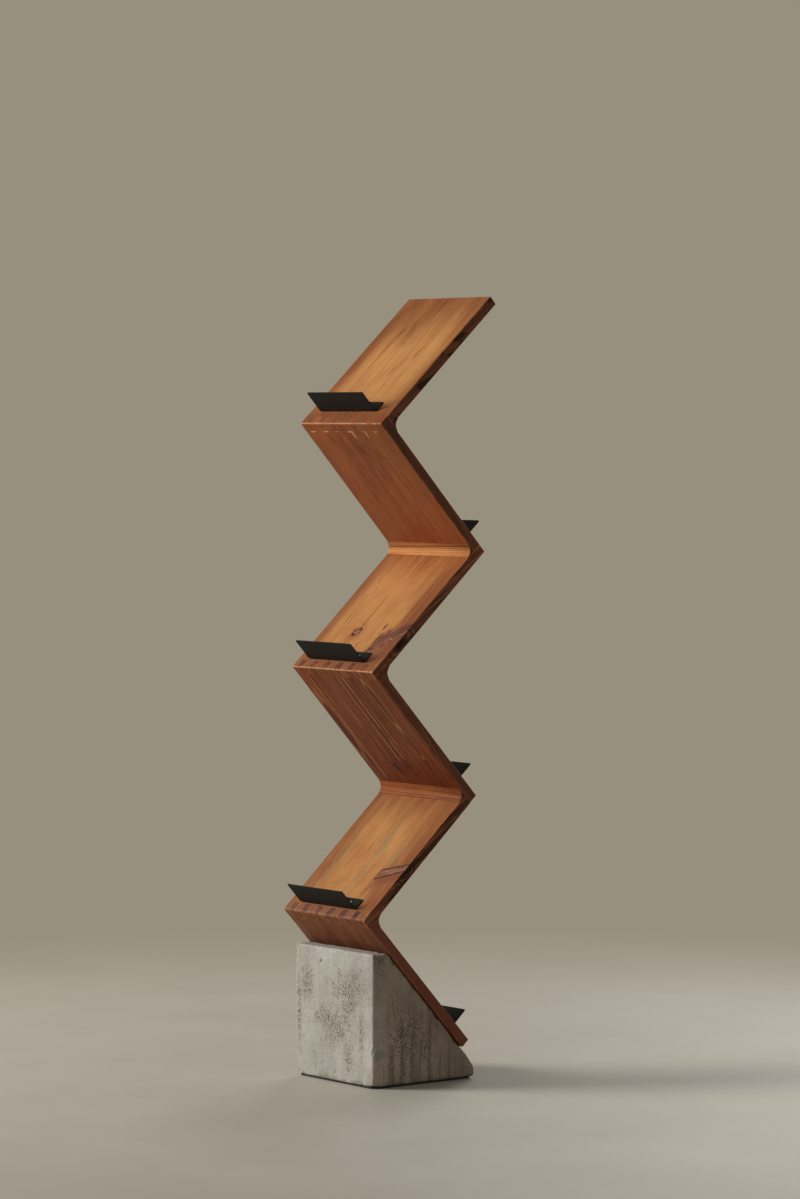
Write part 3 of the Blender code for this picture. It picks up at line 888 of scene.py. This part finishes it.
def outer_edges(shape, sizes, lower, upper):
    """The edges of a board that show on the outside of the finished zigzag."""
    width, length, thickness = sizes
    covered = thickness + COVE_REACH
    chosen = []
    for edge in shape.edges:
        start, end = (vertex.co for vertex in edge.verts)
        middle = (start + end) / 2
        along_x, along_y, along_z = (abs(part) > 0.9 * (end - start).length for part in end - start)
        at_side = near(abs(middle.x), width / 2)
        at_front = near(middle.z, 0.0)
        at_face = at_front or near(middle.z, -thickness)
        at_low = near(middle.y, 0.0)
        at_end = at_low or near(middle.y, length)
        if along_y:
            low = 0.0 if is_outer(lower, at_front) else covered
            high = length if is_outer(upper, at_front) else length - covered
            shows = at_side and at_face and low < middle.y < high
        elif along_x:
            shows = at_end and at_face and is_outer(lower if at_low else upper, at_front)
        else:
            shows = along_z and at_side and at_end
        if shows:
            chosen.append(edge)
    return chosen


def corner_edges(shape, y):
    """The edges across the front of a board at one of its ends."""

    def at_corner(vertex):
        return near(vertex.co.y, y) and near(vertex.co.z, 0.0)

    return [edge for edge in shape.edges if all(at_corner(vertex) for vertex in edge.verts)]


def add_board(number, name, look):
    node = nodes[name]
    up, front = (UP_ODD, -DOWN_EVEN) if number % 2 else (-DOWN_EVEN, -UP_ODD)
    axes = own_axes(node, up, front, (0.5, 0.0, 1.0))
    sizes = [high - low for low, high in (extent(node, direction) for direction in (ACROSS, up, front))]
    shape = board_grid(sizes, look.lower, look.upper)
    for joint, y in ((look.lower, 0.0), (look.upper, sizes[1])):
        if joint and joint.rounding > BOARD_ROUND:
            rounded(shape, corner_edges(shape, y), joint.rounding, BOARD_ROUND_STEPS)
    rounded(shape, outer_edges(shape, sizes, look.lower, look.upper), BOARD_ROUND, BOARD_ROUND_STEPS)
    holes = fastener_holes(axes, screw_names(number), SCREW_SIZES, SCREW_SIDES, holder_directions(number))
    if not look.lower:
        holes += fastener_holes(axes, BOLT_NAMES, BOLT_SIZES, BOLT_SIDES, BOLT_DIRECTIONS)
    mesh = carved(name, shape, holes)
    piece = add_piece(f"wood_{name}", mesh, axes, board_material(number, sizes, look), "board_wood", name)
    keep_flats(piece)


def add_cove(number, look):
    """A strip whose own Y runs along its grain."""
    name = f"cove_strip_{number}"
    open_side = (DOWN_EVEN + UP_ODD).normalized() * (1.0 if number % 2 else -1.0)
    axes = own_axes(nodes[name], ACROSS, open_side, (0.5, 0.5, 0.0))
    low, high = extent(nodes[name], ACROSS)
    half = (high - low) / 2

    def short_ends(shape):
        """The short edges round both ends, without the arc."""
        ends = [edge for edge in shape.edges if all(near(abs(vertex.co.y), half) for vertex in edge.verts)]
        return [edge for edge in ends if 0.0 < edge.calc_length() - 2 * COVE_ROUND < COVE_REACH / 4]

    material = cove_material(number, look)
    add_rounded(f"wood_{name}", name, axes, short_ends, COVE_ROUND, material, "cove_wood")


def holder_directions(number):
    """Up the board, and out of the side of it that carries the holder."""
    return (UP_ODD, -DOWN_EVEN) if number % 2 else (-DOWN_EVEN, UP_ODD)


def in_hole(edge):
    """Whether an edge of a holder belongs to a screw hole, which lies well inside the flange."""
    places = [vertex.co for vertex in edge.verts]
    return all(HOLE_LOW < place.y < HOLE_HIGH and abs(place.x) < HOLE_REACH for place in places)


def sharp_edges(shape):
    return [edge for edge in shape.edges if edge.is_manifold and edge.calc_face_angle() > SHARP_ANGLE]


def add_holder(number, material):
    name = f"holder_{number}"
    axes = own_axes(nodes[name], *holder_directions(number), (0.5, 0.0, 0.0))

    def rims(shape):
        return [edge for edge in sharp_edges(shape) if not in_hole(edge)]

    keep_flats(add_rounded(f"steel_{name}", name, axes, rims, SHEET_ROUND, material, "holder_steel"))


def solid(rings):
    """A closed shape from rings of points, top first. A ring of one point closes an end."""
    shape = bmesh.new()
    rings = [[shape.verts.new(point) for point in ring] for ring in rings]
    sides = max(len(ring) for ring in rings)
    for upper, lower in zip(rings, rings[1:]):
        for i in range(sides):
            j = (i + 1) % sides
            corners = [ring[k % len(ring)] for ring, k in ((upper, i), (lower, i), (lower, j), (upper, j))]
            shape.faces.new(list(dict.fromkeys(corners)))
    bmesh.ops.recalc_face_normals(shape, faces=shape.faces)
    return shape


def lathe(profile, sides):
    """A solid of revolution about Z from points of radius and height, top first."""
    rings = []
    for radius, height in profile:
        angles = [2 * math.pi * i / sides for i in range(sides if radius else 1)]
        rings.append([(radius * math.cos(angle), radius * math.sin(angle), height) for angle in angles])
    return solid(rings)


def cross_recess(reach, arm, depth):
    """A tapering cross, as a driver leaves it."""
    outline = [(arm, arm), (arm, reach), (-arm, reach), (-arm, arm), (-reach, arm), (-reach, -arm)]
    outline += [(-x, -y) for x, y in outline]
    top = [(x, y, depth) for x, y in outline]
    foot = [(x * CROSS_TAPER, y * CROSS_TAPER, -depth) for x, y in outline]
    return solid([[(0.0, 0.0, depth)], top, foot, [(0.0, 0.0, -depth)]])


def hex_recess(reach, depth):
    return lathe([(0.0, depth), (reach, depth), (reach, -depth), (0.0, -depth - reach / 3)], 6)


def fastener_profile(head_radius, shank_radius, length, tip_radius, tip_length, gap=0.0):
    """A countersunk fastener with a softened rim, head up, or with a gap the hole that takes it."""
    rim = HEAD_RIM_SHARE * head_radius
    if gap:
        top = [(0.0, gap), (head_radius + gap, gap), (head_radius + gap, -1.3 * rim - gap)]
    else:
        top = [(0.0, 0.0), (head_radius - 2 * rim, 0.0), (head_radius - rim / 2, -0.4 * rim)]
        top.append((head_radius - 0.4 * rim, -1.3 * rim))
    return top + [
        (shank_radius + gap, shank_radius - head_radius - gap),
        (shank_radius + gap, tip_length - length),
        (tip_radius + gap, -length - gap),
        (0.0, -length - gap),
    ]


def fastener_axes(name, directions):
    return own_axes(nodes[name], *directions, (0.5, 0.5, 1.0))


def fastener_holes(axes, names, sizes, sides, directions):
    """The countersunk holes of screws or bolts, in the axes of the board that takes them."""
    holes = [lathe(fastener_profile(*sizes, HOLE_GAP), sides) for _ in names]
    for name, hole in zip(names, holes):
        hole.transform(axes.inverted() @ fastener_axes(name, directions))
    return holes


def screw_names(number):
    return [f"holder_{number}_screw_{side}" for side in ("left", "right")]


def add_fasteners(names, directions, mesh, material, slot):
    for turn, name in enumerate(names):
        spin = Matrix.Rotation(TURN_BETWEEN_FASTENERS * (turn + len(name)), 4, "Z")
        add_piece(f"steel_{name}", mesh, fastener_axes(name, directions) @ spin, material, slot, name)


def add_base():
    """The casting: the node's shape on a fine grid, with uneven faces, chipped edges and air holes."""
    low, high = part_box("concrete_base")
    shape = bmesh.new()
    shape.from_mesh(nodes["concrete_base"].data)
    bmesh.ops.remove_doubles(shape, verts=shape.verts, dist=WELD_DISTANCE)
    draft = placed("casting_draft", smoothed(mesh_of("casting_draft", shape)))
    remesh = draft.modifiers.new("Grid", "REMESH")
    remesh.mode = "VOXEL"
    remesh.voxel_size = CONCRETE_CELL
    mesh = applied(draft)
    roughen(mesh, low, high)
    mesh.shade_smooth()
    material = concrete_material(low, high)
    add_piece("cast_concrete_base", mesh, Matrix.Identity(4), material, "concrete", "concrete_base")


def air_holes(low, high):
    """Middle, radius and depth of the holes that air left at the faces of the casting."""
    holes = [
        (Vector((-0.0413, low.y, 0.233)), 0.0052, 0.0040),
        (Vector((0.088, low.y, 0.225)), 0.0032, 0.0026),
    ]
    draw = random.Random(7)
    for _ in range(AIR_HOLE_COUNT):
        spot = Vector((draw.uniform(low.x, high.x), low.y, draw.uniform(low.z, high.z)))
        if draw.random() < AIR_HOLES_AT_SIDES:
            x = draw.choice((low.x, high.x))
            spot = Vector((x, draw.uniform(low.y, high.y), draw.uniform(low.z, high.z)))
        holes.append((spot, draw.uniform(0.0016, 0.0038), draw.uniform(0.0008, 0.0024)))
    return holes


def worn_away(away, reach, depth):
    """Depth lost at some distance from an edge, none beyond its reach."""
    return depth * max(1.0 - away / reach, 0.0) ** 2


def roughen(mesh, low, high):
    """Moves the points of the casting inwards: low waves, chipped edges, a rounded nose and air holes."""
    holes = air_holes(low, high)
    near_corner = Vector((high.x, low.y, low.z))
    far_corner = Vector((low.x, low.y, low.z))
    moves = []
    for vertex in mesh.vertices:
        place = vertex.co
        depth = WAVE_DEPTH * (noise.noise(place * 30.0) + 0.6 * noise.noise(place * 85.0) + 0.7)
        bite = noise.noise(place * 48.0) + 0.5 * noise.noise(place * 130.0) - 0.12
        depth += max(bite, 0.0) * worn_away(edge_distance(place, low, high), *CHIP)
        from_end = abs(high.y - place.y)
        depth += worn_away(max(from_end, abs(slant_depth(place))), *NOSE)
        depth += worn_away(max(from_end, place.z - low.z), *LOW_NOSE)
        from_corner = place - near_corner
        from_corner.z /= 2
        depth += worn_away(from_corner.length, *CORNER)
        depth += worn_away((place - far_corner).length, *FAR_CORNER)
        for spot, radius, deep in holes:
            away = (place - spot).length / radius
            if away < 1.0:
                depth += deep * (1.0 - away * away)
        moves.append(vertex.normal * -depth)
    for vertex, move in zip(mesh.vertices, moves):
        vertex.co += move


def slant_depth(place):
    """How far a point is under the slanted face."""
    return (SLANT_POINT.y - place.y) * math.sin(SLOPE) + (SLANT_POINT.z - place.z) * math.cos(SLOPE)


def edge_distance(place, low, high):
    """How far a point of the casting's surface is from the nearest edge above its foot: its distance from
    the second nearest face."""
    faces = [slant_depth(place), high.z - place.z]
    for axis in range(2):
        faces += [place[axis] - low[axis], high[axis] - place[axis]]
    return sorted(abs(distance) for distance in faces)[1]


def add_underlay():
    name = "rubber_underlay"
    axes = own_axes(nodes[name], Vector((0.0, 1.0, 0.0)), Vector((0.0, 0.0, 1.0)), (0.5, 0.5, 0.0))

    def rims(shape):
        """The sharp edges that are left once the upright corners are rounded."""
        uprights = [edge for edge in shape.edges if not near(edge.verts[0].co.z, edge.verts[1].co.z)]
        rounded(shape, uprights, UNDERLAY_CORNER, UNDERLAY_CORNER_STEPS)
        return sharp_edges(shape)

    material = rubber_material()
    keep_flats(add_rounded("rubber_sheet", name, axes, rims, UNDERLAY_ROUND, material, "underlay_rubber"))


def add_floor():
    shape = bmesh.new()
    bmesh.ops.create_circle(shape, cap_ends=True, segments=FLOOR_STEPS, radius=FLOOR_REACH)
    floor = placed("floor", mesh_of("floor", shape))
    floor.data.materials.append(floor_material())
    floor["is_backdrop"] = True


def add_world():
    """Even light from all round, and a plain warm grey where the camera sees past the floor."""
    world = bpy.data.worlds.new("studio")
    bpy.context.scene.world = world
    sky = Nodes(world)
    light = sky.tree.nodes["Background"]
    sky.feed(light.inputs, {"Color": SKY_COLOUR, "Strength": SKY_STRENGTH})
    seen = sky.node("Background", {"Color": srgb(*BACKGROUND_GREY), "Strength": 1.0})
    rays = sky.node("LightPath").outputs
    seen_rays = sky.most(*(rays[f"Is {kind} Ray"] for kind in ("Camera", "Glossy", "Transmission")))
    sky.blend(seen_rays, light, seen, "World Output")


def add_lamp(name, place, size, power, colour):
    data = bpy.data.lights.new(name, "AREA")
    data.shape = "DISK"
    data.size = size
    data.energy = power
    data.color = colour
    lamp = placed(name, data)
    lamp.location = place
    lamp.rotation_euler = (LAMP_TARGET - Vector(place)).to_track_quat("-Z", "Y").to_euler()
    lamp.visible_camera = False


def add_camera():
    data = bpy.data.cameras.new("camera")
    data.lens = CAMERA_LENS
    data.sensor_width = CAMERA_SENSOR
    camera = placed("camera", data)
    camera.location = CAMERA_PLACE
    camera.rotation_euler = (CAMERA_TILT, 0.0, CAMERA_TURN)
    bpy.context.scene.camera = camera


# The boards from the top down. A free end has no joint.
BOARD_LOOKS = {}
BOARD_LOOKS["board_1_top"] = board_look(
    seed=1.3, pith=(-0.04, -0.16), lower=Joint(True, False, 0.15, 0.75, 0.10, side_seam=0.6),
    streaks=0.45, grain=0.3, clouds=0.45, blackened=0.8,
    pale_middle=0.007, low_border=0.034, top_border=0.070, ragged=0.03,
    tints=[((0.0, 0.010), (0.20, 0.025), 0.5, (110, 68, 46))],
    lines=[
        (-0.018, 0.06, 0.30, 0.0005, 0.35, DARK_LINE),
        (0.004, 0.12, 0.36, 0.0005, 0.35, DARK_LINE),
        (0.062, 0.05, 0.16, 0.0005, 0.30, DARK_LINE),
    ],
    knots=[
        Knot((0.021, 0.155), (0.0022, 0.0120), 0.1, 0.35),
        Knot((0.054, 0.204), (0.0028, 0.0140), 0.2, 0.35),
    ],
)
BOARD_LOOKS["board_2"] = board_look(
    seed=5.9, pith=(0.05, -0.14), contrast=0.75, streaks=0.5, grain=0.5, resin=0.15,
    lower=Joint(False, False, 0.2, 0.5, 0.5),
    upper=Joint(True, True, 0.15, 0.75, 0.10, filler=0.95),
    staves=[(-0.062, -0.07)],
    tints=[
        ((0.06, 0.09), (0.11, 0.11), 0.35, (160, 86, 52)),
        ((-0.095, 0.19), (0.03, 0.20), 0.35, (160, 90, 50)),
        ((0.10, 0.28), (0.06, 0.12), 0.45, (150, 88, 46)),
    ],
    lines=[
        (0.018, 0.327, 0.340, 0.0010, 0.9, FILLER),
        (0.060, 0.326, 0.340, 0.0008, 0.8, FILLER),
        (0.090, 0.334, 0.340, 0.0008, 0.7, FILLER),
        (-0.064, 0.05, 0.30, 0.0009, 0.25, LIGHT_LINE),
        (0.0236, 0.20, 0.33, 0.0009, 0.30, LIGHT_LINE),
        (0.034, 0.04, 0.20, 0.0008, 0.35, DARK_LINE),
    ],
    knots=[Knot((0.0080, 0.288), (0.0045, 0.0140), 0.0, 0.4)],
)
BOARD_LOOKS["board_3"] = board_look(
    seed=9.2, pith=(0.0, -0.12), contrast=0.6, streaks=0.45, olive=0.05, blackened=0.3, growth=1.6,
    lower=Joint(True, True, 0.45, 0.75, 0.28),
    upper=Joint(False, True, 0.2, 0.5, 0.5),
    pale_middle=-0.008, low_border=0.030, top_border=0.052,
    tints=[
        ((0.0, 0.30), (0.15, 0.06), 0.40, (172, 100, 52)),
        ((-0.02, 0.20), (0.07, 0.08), 0.45, (200, 138, 83)),
        ((0.125, 0.20), (0.035, 0.13), 0.45, (140, 78, 44)),
        ((0.0, 0.008), (0.20, 0.022), 0.5, (138, 96, 72)),
        ((-0.125, 0.24), (0.030, 0.12), 0.5, (140, 82, 52)),
    ],
    lines=[
        (-0.017, 0.126, 0.204, 0.0009, 0.6, DARK_LINE),
        (-0.008, 0.255, 0.322, 0.0006, 0.6, LIGHT_LINE),
        (-0.080, 0.115, 0.245, 0.0009, 0.6, DARK_LINE),
        (-0.075, 0.120, 0.254, 0.0009, 0.6, GLUE),
        (-0.069, 0.130, 0.230, 0.0008, 0.6, DARK_LINE),
        (-0.062, 0.126, 0.220, 0.0008, 0.5, GLUE),
        (-0.070, 0.072, 0.102, 0.0006, 0.5, DARK_LINE),
    ],
    knots=[
        Knot((-0.019, 0.1035), (0.0105, 0.0115), 0.3, eye=0.8),
        Knot((0.0545, 0.1215), (0.0024, 0.0080), 0.17),
        Knot((0.0514, 0.1040), (0.0014, 0.0050), 0.2, 0.5),
    ],
    spikes=[Spike((0.056, 0.070), 0.62, 0.029, 0.10, 0.026, (112, 66, 54), 0.85, 0.1, 2.0)],
    burls=[Burl((0.086, -0.007), (0.026, 0.015), 0.95, 0.6)],
)
BOARD_LOOKS["board_4"] = board_look(
    seed=14.7, pith=(-0.02, -0.20), contrast=0.7, streaks=0.6, grain=1.2, clouds=0.3, hairlines=0.5,
    lower=Joint(False, True, 0.2, 0.5, 0.5),
    # The dark seam at the side of the upper joint is painted shade in the gap between the boards
    upper=Joint(True, False, 0.3, 0.75, 0.35, side_seam=0.7, seam_colour=BLACKENED),
    wood=DARK_RED,
    tints=[
        ((0.0, 0.04), (0.16, 0.09), 0.55, (106, 46, 26)),
        ((-0.005, 0.20), (0.035, 0.17), 0.45, (104, 46, 22)),
        ((-0.115, 0.31), (0.014, 0.09), 0.50, (170, 84, 44)),
        ((-0.066, 0.24), (0.020, 0.14), 0.40, (124, 70, 38)),
        ((0.100, 0.26), (0.040, 0.14), 0.40, (124, 70, 38)),
    ],
    lines=[
        (-0.096, 0.045, 0.330, 0.0009, 0.70, LIGHT_LINE),
        (-0.091, 0.160, 0.330, 0.0009, 0.50, DARK_LINE),
        (-0.044, 0.180, 0.331, 0.0008, 0.40, LIGHT_LINE),
        (-0.040, 0.090, 0.330, 0.0016, 0.70, DARK_LINE),
        (-0.003, 0.110, 0.331, 0.0009, 0.65, LIGHT_LINE),
        (0.003, 0.090, 0.320, 0.0012, 0.60, DARK_LINE),
        (0.015, 0.120, 0.335, 0.0009, 0.70, LIGHT_LINE),
        (0.021, 0.100, 0.320, 0.0012, 0.60, DARK_LINE),
        (0.028, 0.160, 0.330, 0.0007, 0.40, LIGHT_LINE),
        (0.082, 0.030, 0.120, 0.0014, 0.60, DARK_LINE),
    ],
    loops=[
        Loop((-0.116, 0.194), (0.012, 0.080), 0.0, 0.5, 0.25),
        Loop((0.076, 0.265), (0.008, 0.062), -0.04, 0.6, 0.4),
        Loop((0.081, 0.165), (0.007, 0.042), -0.04, 0.6, 0.35),
    ],
    knots=[
        Knot((-0.031, 0.083), (0.0056, 0.0130), -0.15, halo=DARK_LINE),
        Knot((0.011, 0.090), (0.0060, 0.0100), -0.1, 0.6, halo=DARK_LINE),
        Knot((0.018, 0.066), (0.0050, 0.0070), -0.1, 0.5, halo=DARK_LINE),
    ],
)
BOARD_LOOKS["board_5"] = board_look(
    seed=21.4, pith=(0.03, -0.15), contrast=0.6, streaks=0.4, olive=0.8, blackened=0.3, growth=1.8,
    lower=Joint(True, True, 0.6, 0.5, 0.45, rounding=LOWEST_CORNER_ROUND),
    upper=Joint(False, False, 0.2, 0.5, 0.5),
    pale_middle=-0.010, low_border=0.020, top_border=0.060,
    tints=[
        ((0.105, 0.080), (0.035, 0.050), 0.55, (150, 88, 52)),
        ((0.0, 0.008), (0.20, 0.022), 0.6, (126, 88, 64)),
        ((0.110, 0.27), (0.060, 0.10), 0.45, (158, 100, 58)),
        ((-0.118, 0.20), (0.025, 0.16), 0.40, (140, 84, 50)),
    ],
    lines=[
        (-0.010, 0.200, 0.250, 0.0007, 0.5, DARK_LINE),
        (-0.092, 0.140, 0.300, 0.0008, 0.4, DARK_LINE),
        (-0.084, 0.120, 0.270, 0.0006, 0.4, DARK_LINE),
    ],
    spikes=[Spike((0.064, 0.116), 0.38, 0.0125, 0.04, 0.004, (146, 98, 76), 0.75, 1.0, 5.0)],
    burls=[
        Burl((0.134, -0.007), (0.018, 0.010), 0.6, 0.9),
        Burl((0.082, -0.018), (0.022, 0.006), 0.7, 0.5),
    ],
)
BOARD_LOOKS["board_6_foot"] = board_look(
    seed=27.1, pith=(0.0, -0.18), contrast=0.5, streaks=0.3, grain=0.25, clouds=0.9, resin=0.15,
    # The dark seam at the side of the upper joint is painted shade in the gap between the boards
    upper=Joint(True, False, 0.4, 0.2, 0.95, 0.2, 0.9, BLACKENED, LOWEST_CORNER_ROUND),
    wood=FOOT_RED, side=RED_SIDE, blackened=0.0, growth=0.3,
    # Painted shade: a dark band on the foot board just above the casting's ledge, where the two meet
    tints=[((0.02, 0.268), (0.20, 0.024), 0.5, (84, 42, 25))],
)

# The strips from the top down
UPPER_COVE_LINES = (
    (-0.0056, 0.0006, 0.8),
    (-0.0026, 0.0004, 0.6),
    (0.0012, 0.0003, 0.3),
    (0.0062, 0.0003, 0.3),
)
LOWER_COVE_LINES = ((-0.0040, 0.0004, 0.4), (0.0068, 0.0006, 0.7))
COVE_LOOKS = (
    CoveLook(COVE),
    CoveLook(COVE, 0.6, -0.02, 0.7, UPPER_COVE_LINES),
    CoveLook(DARK_COVE),
    CoveLook(DARK_COVE, 0.0, 0.01, 0.8, LOWER_COVE_LINES),
    CoveLook(COVE),
)

for number, (name, look) in enumerate(BOARD_LOOKS.items(), 1):
    add_board(number, name, look)
for number, look in enumerate(COVE_LOOKS, 1):
    add_cove(number, look)

powder_coat = holder_material()
bright_steel = steel_material("bright_steel", (170, 168, 164), (206, 204, 200), 0.30)
zinc_steel = steel_material("zinc_steel", (140, 140, 138), (178, 178, 174), 0.42)
screw = lathe(fastener_profile(*SCREW_SIZES), SCREW_SIDES)
screw_mesh = carved("wood_screw", screw, [cross_recess(*CROSS_RECESS)])
bolt = lathe(fastener_profile(*BOLT_SIZES), BOLT_SIDES)
bolt_mesh = carved("base_bolt", bolt, [hex_recess(*HEX_RECESS)])

for number in range(1, len(BOARD_LOOKS) + 1):
    add_holder(number, powder_coat)
    add_fasteners(screw_names(number), holder_directions(number), screw_mesh, bright_steel, "screw_steel")
add_fasteners(BOLT_NAMES, BOLT_DIRECTIONS, bolt_mesh, zinc_steel, "fixing_steel")
for name, node in nodes.items():
    if name.startswith("base_sleeve"):
        node.data.materials.clear()
        node.data.materials.append(zinc_steel)

add_base()
add_underlay()

add_floor()
add_world()
add_lamp("key", (-2.9, -3.8, 3.0), 2.2, 275.0, (1.0, 0.96, 0.90))
add_lamp("rear_fill", (-2.6, 4.4, 2.6), 3.0, 75.0, (1.0, 0.97, 0.92))
add_camera()
bpy.context.scene.view_settings.view_transform = "Standard"

boxes = {"cad": [list(corner) for corner in cad_box], "visual": [list(corner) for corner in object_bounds()]}
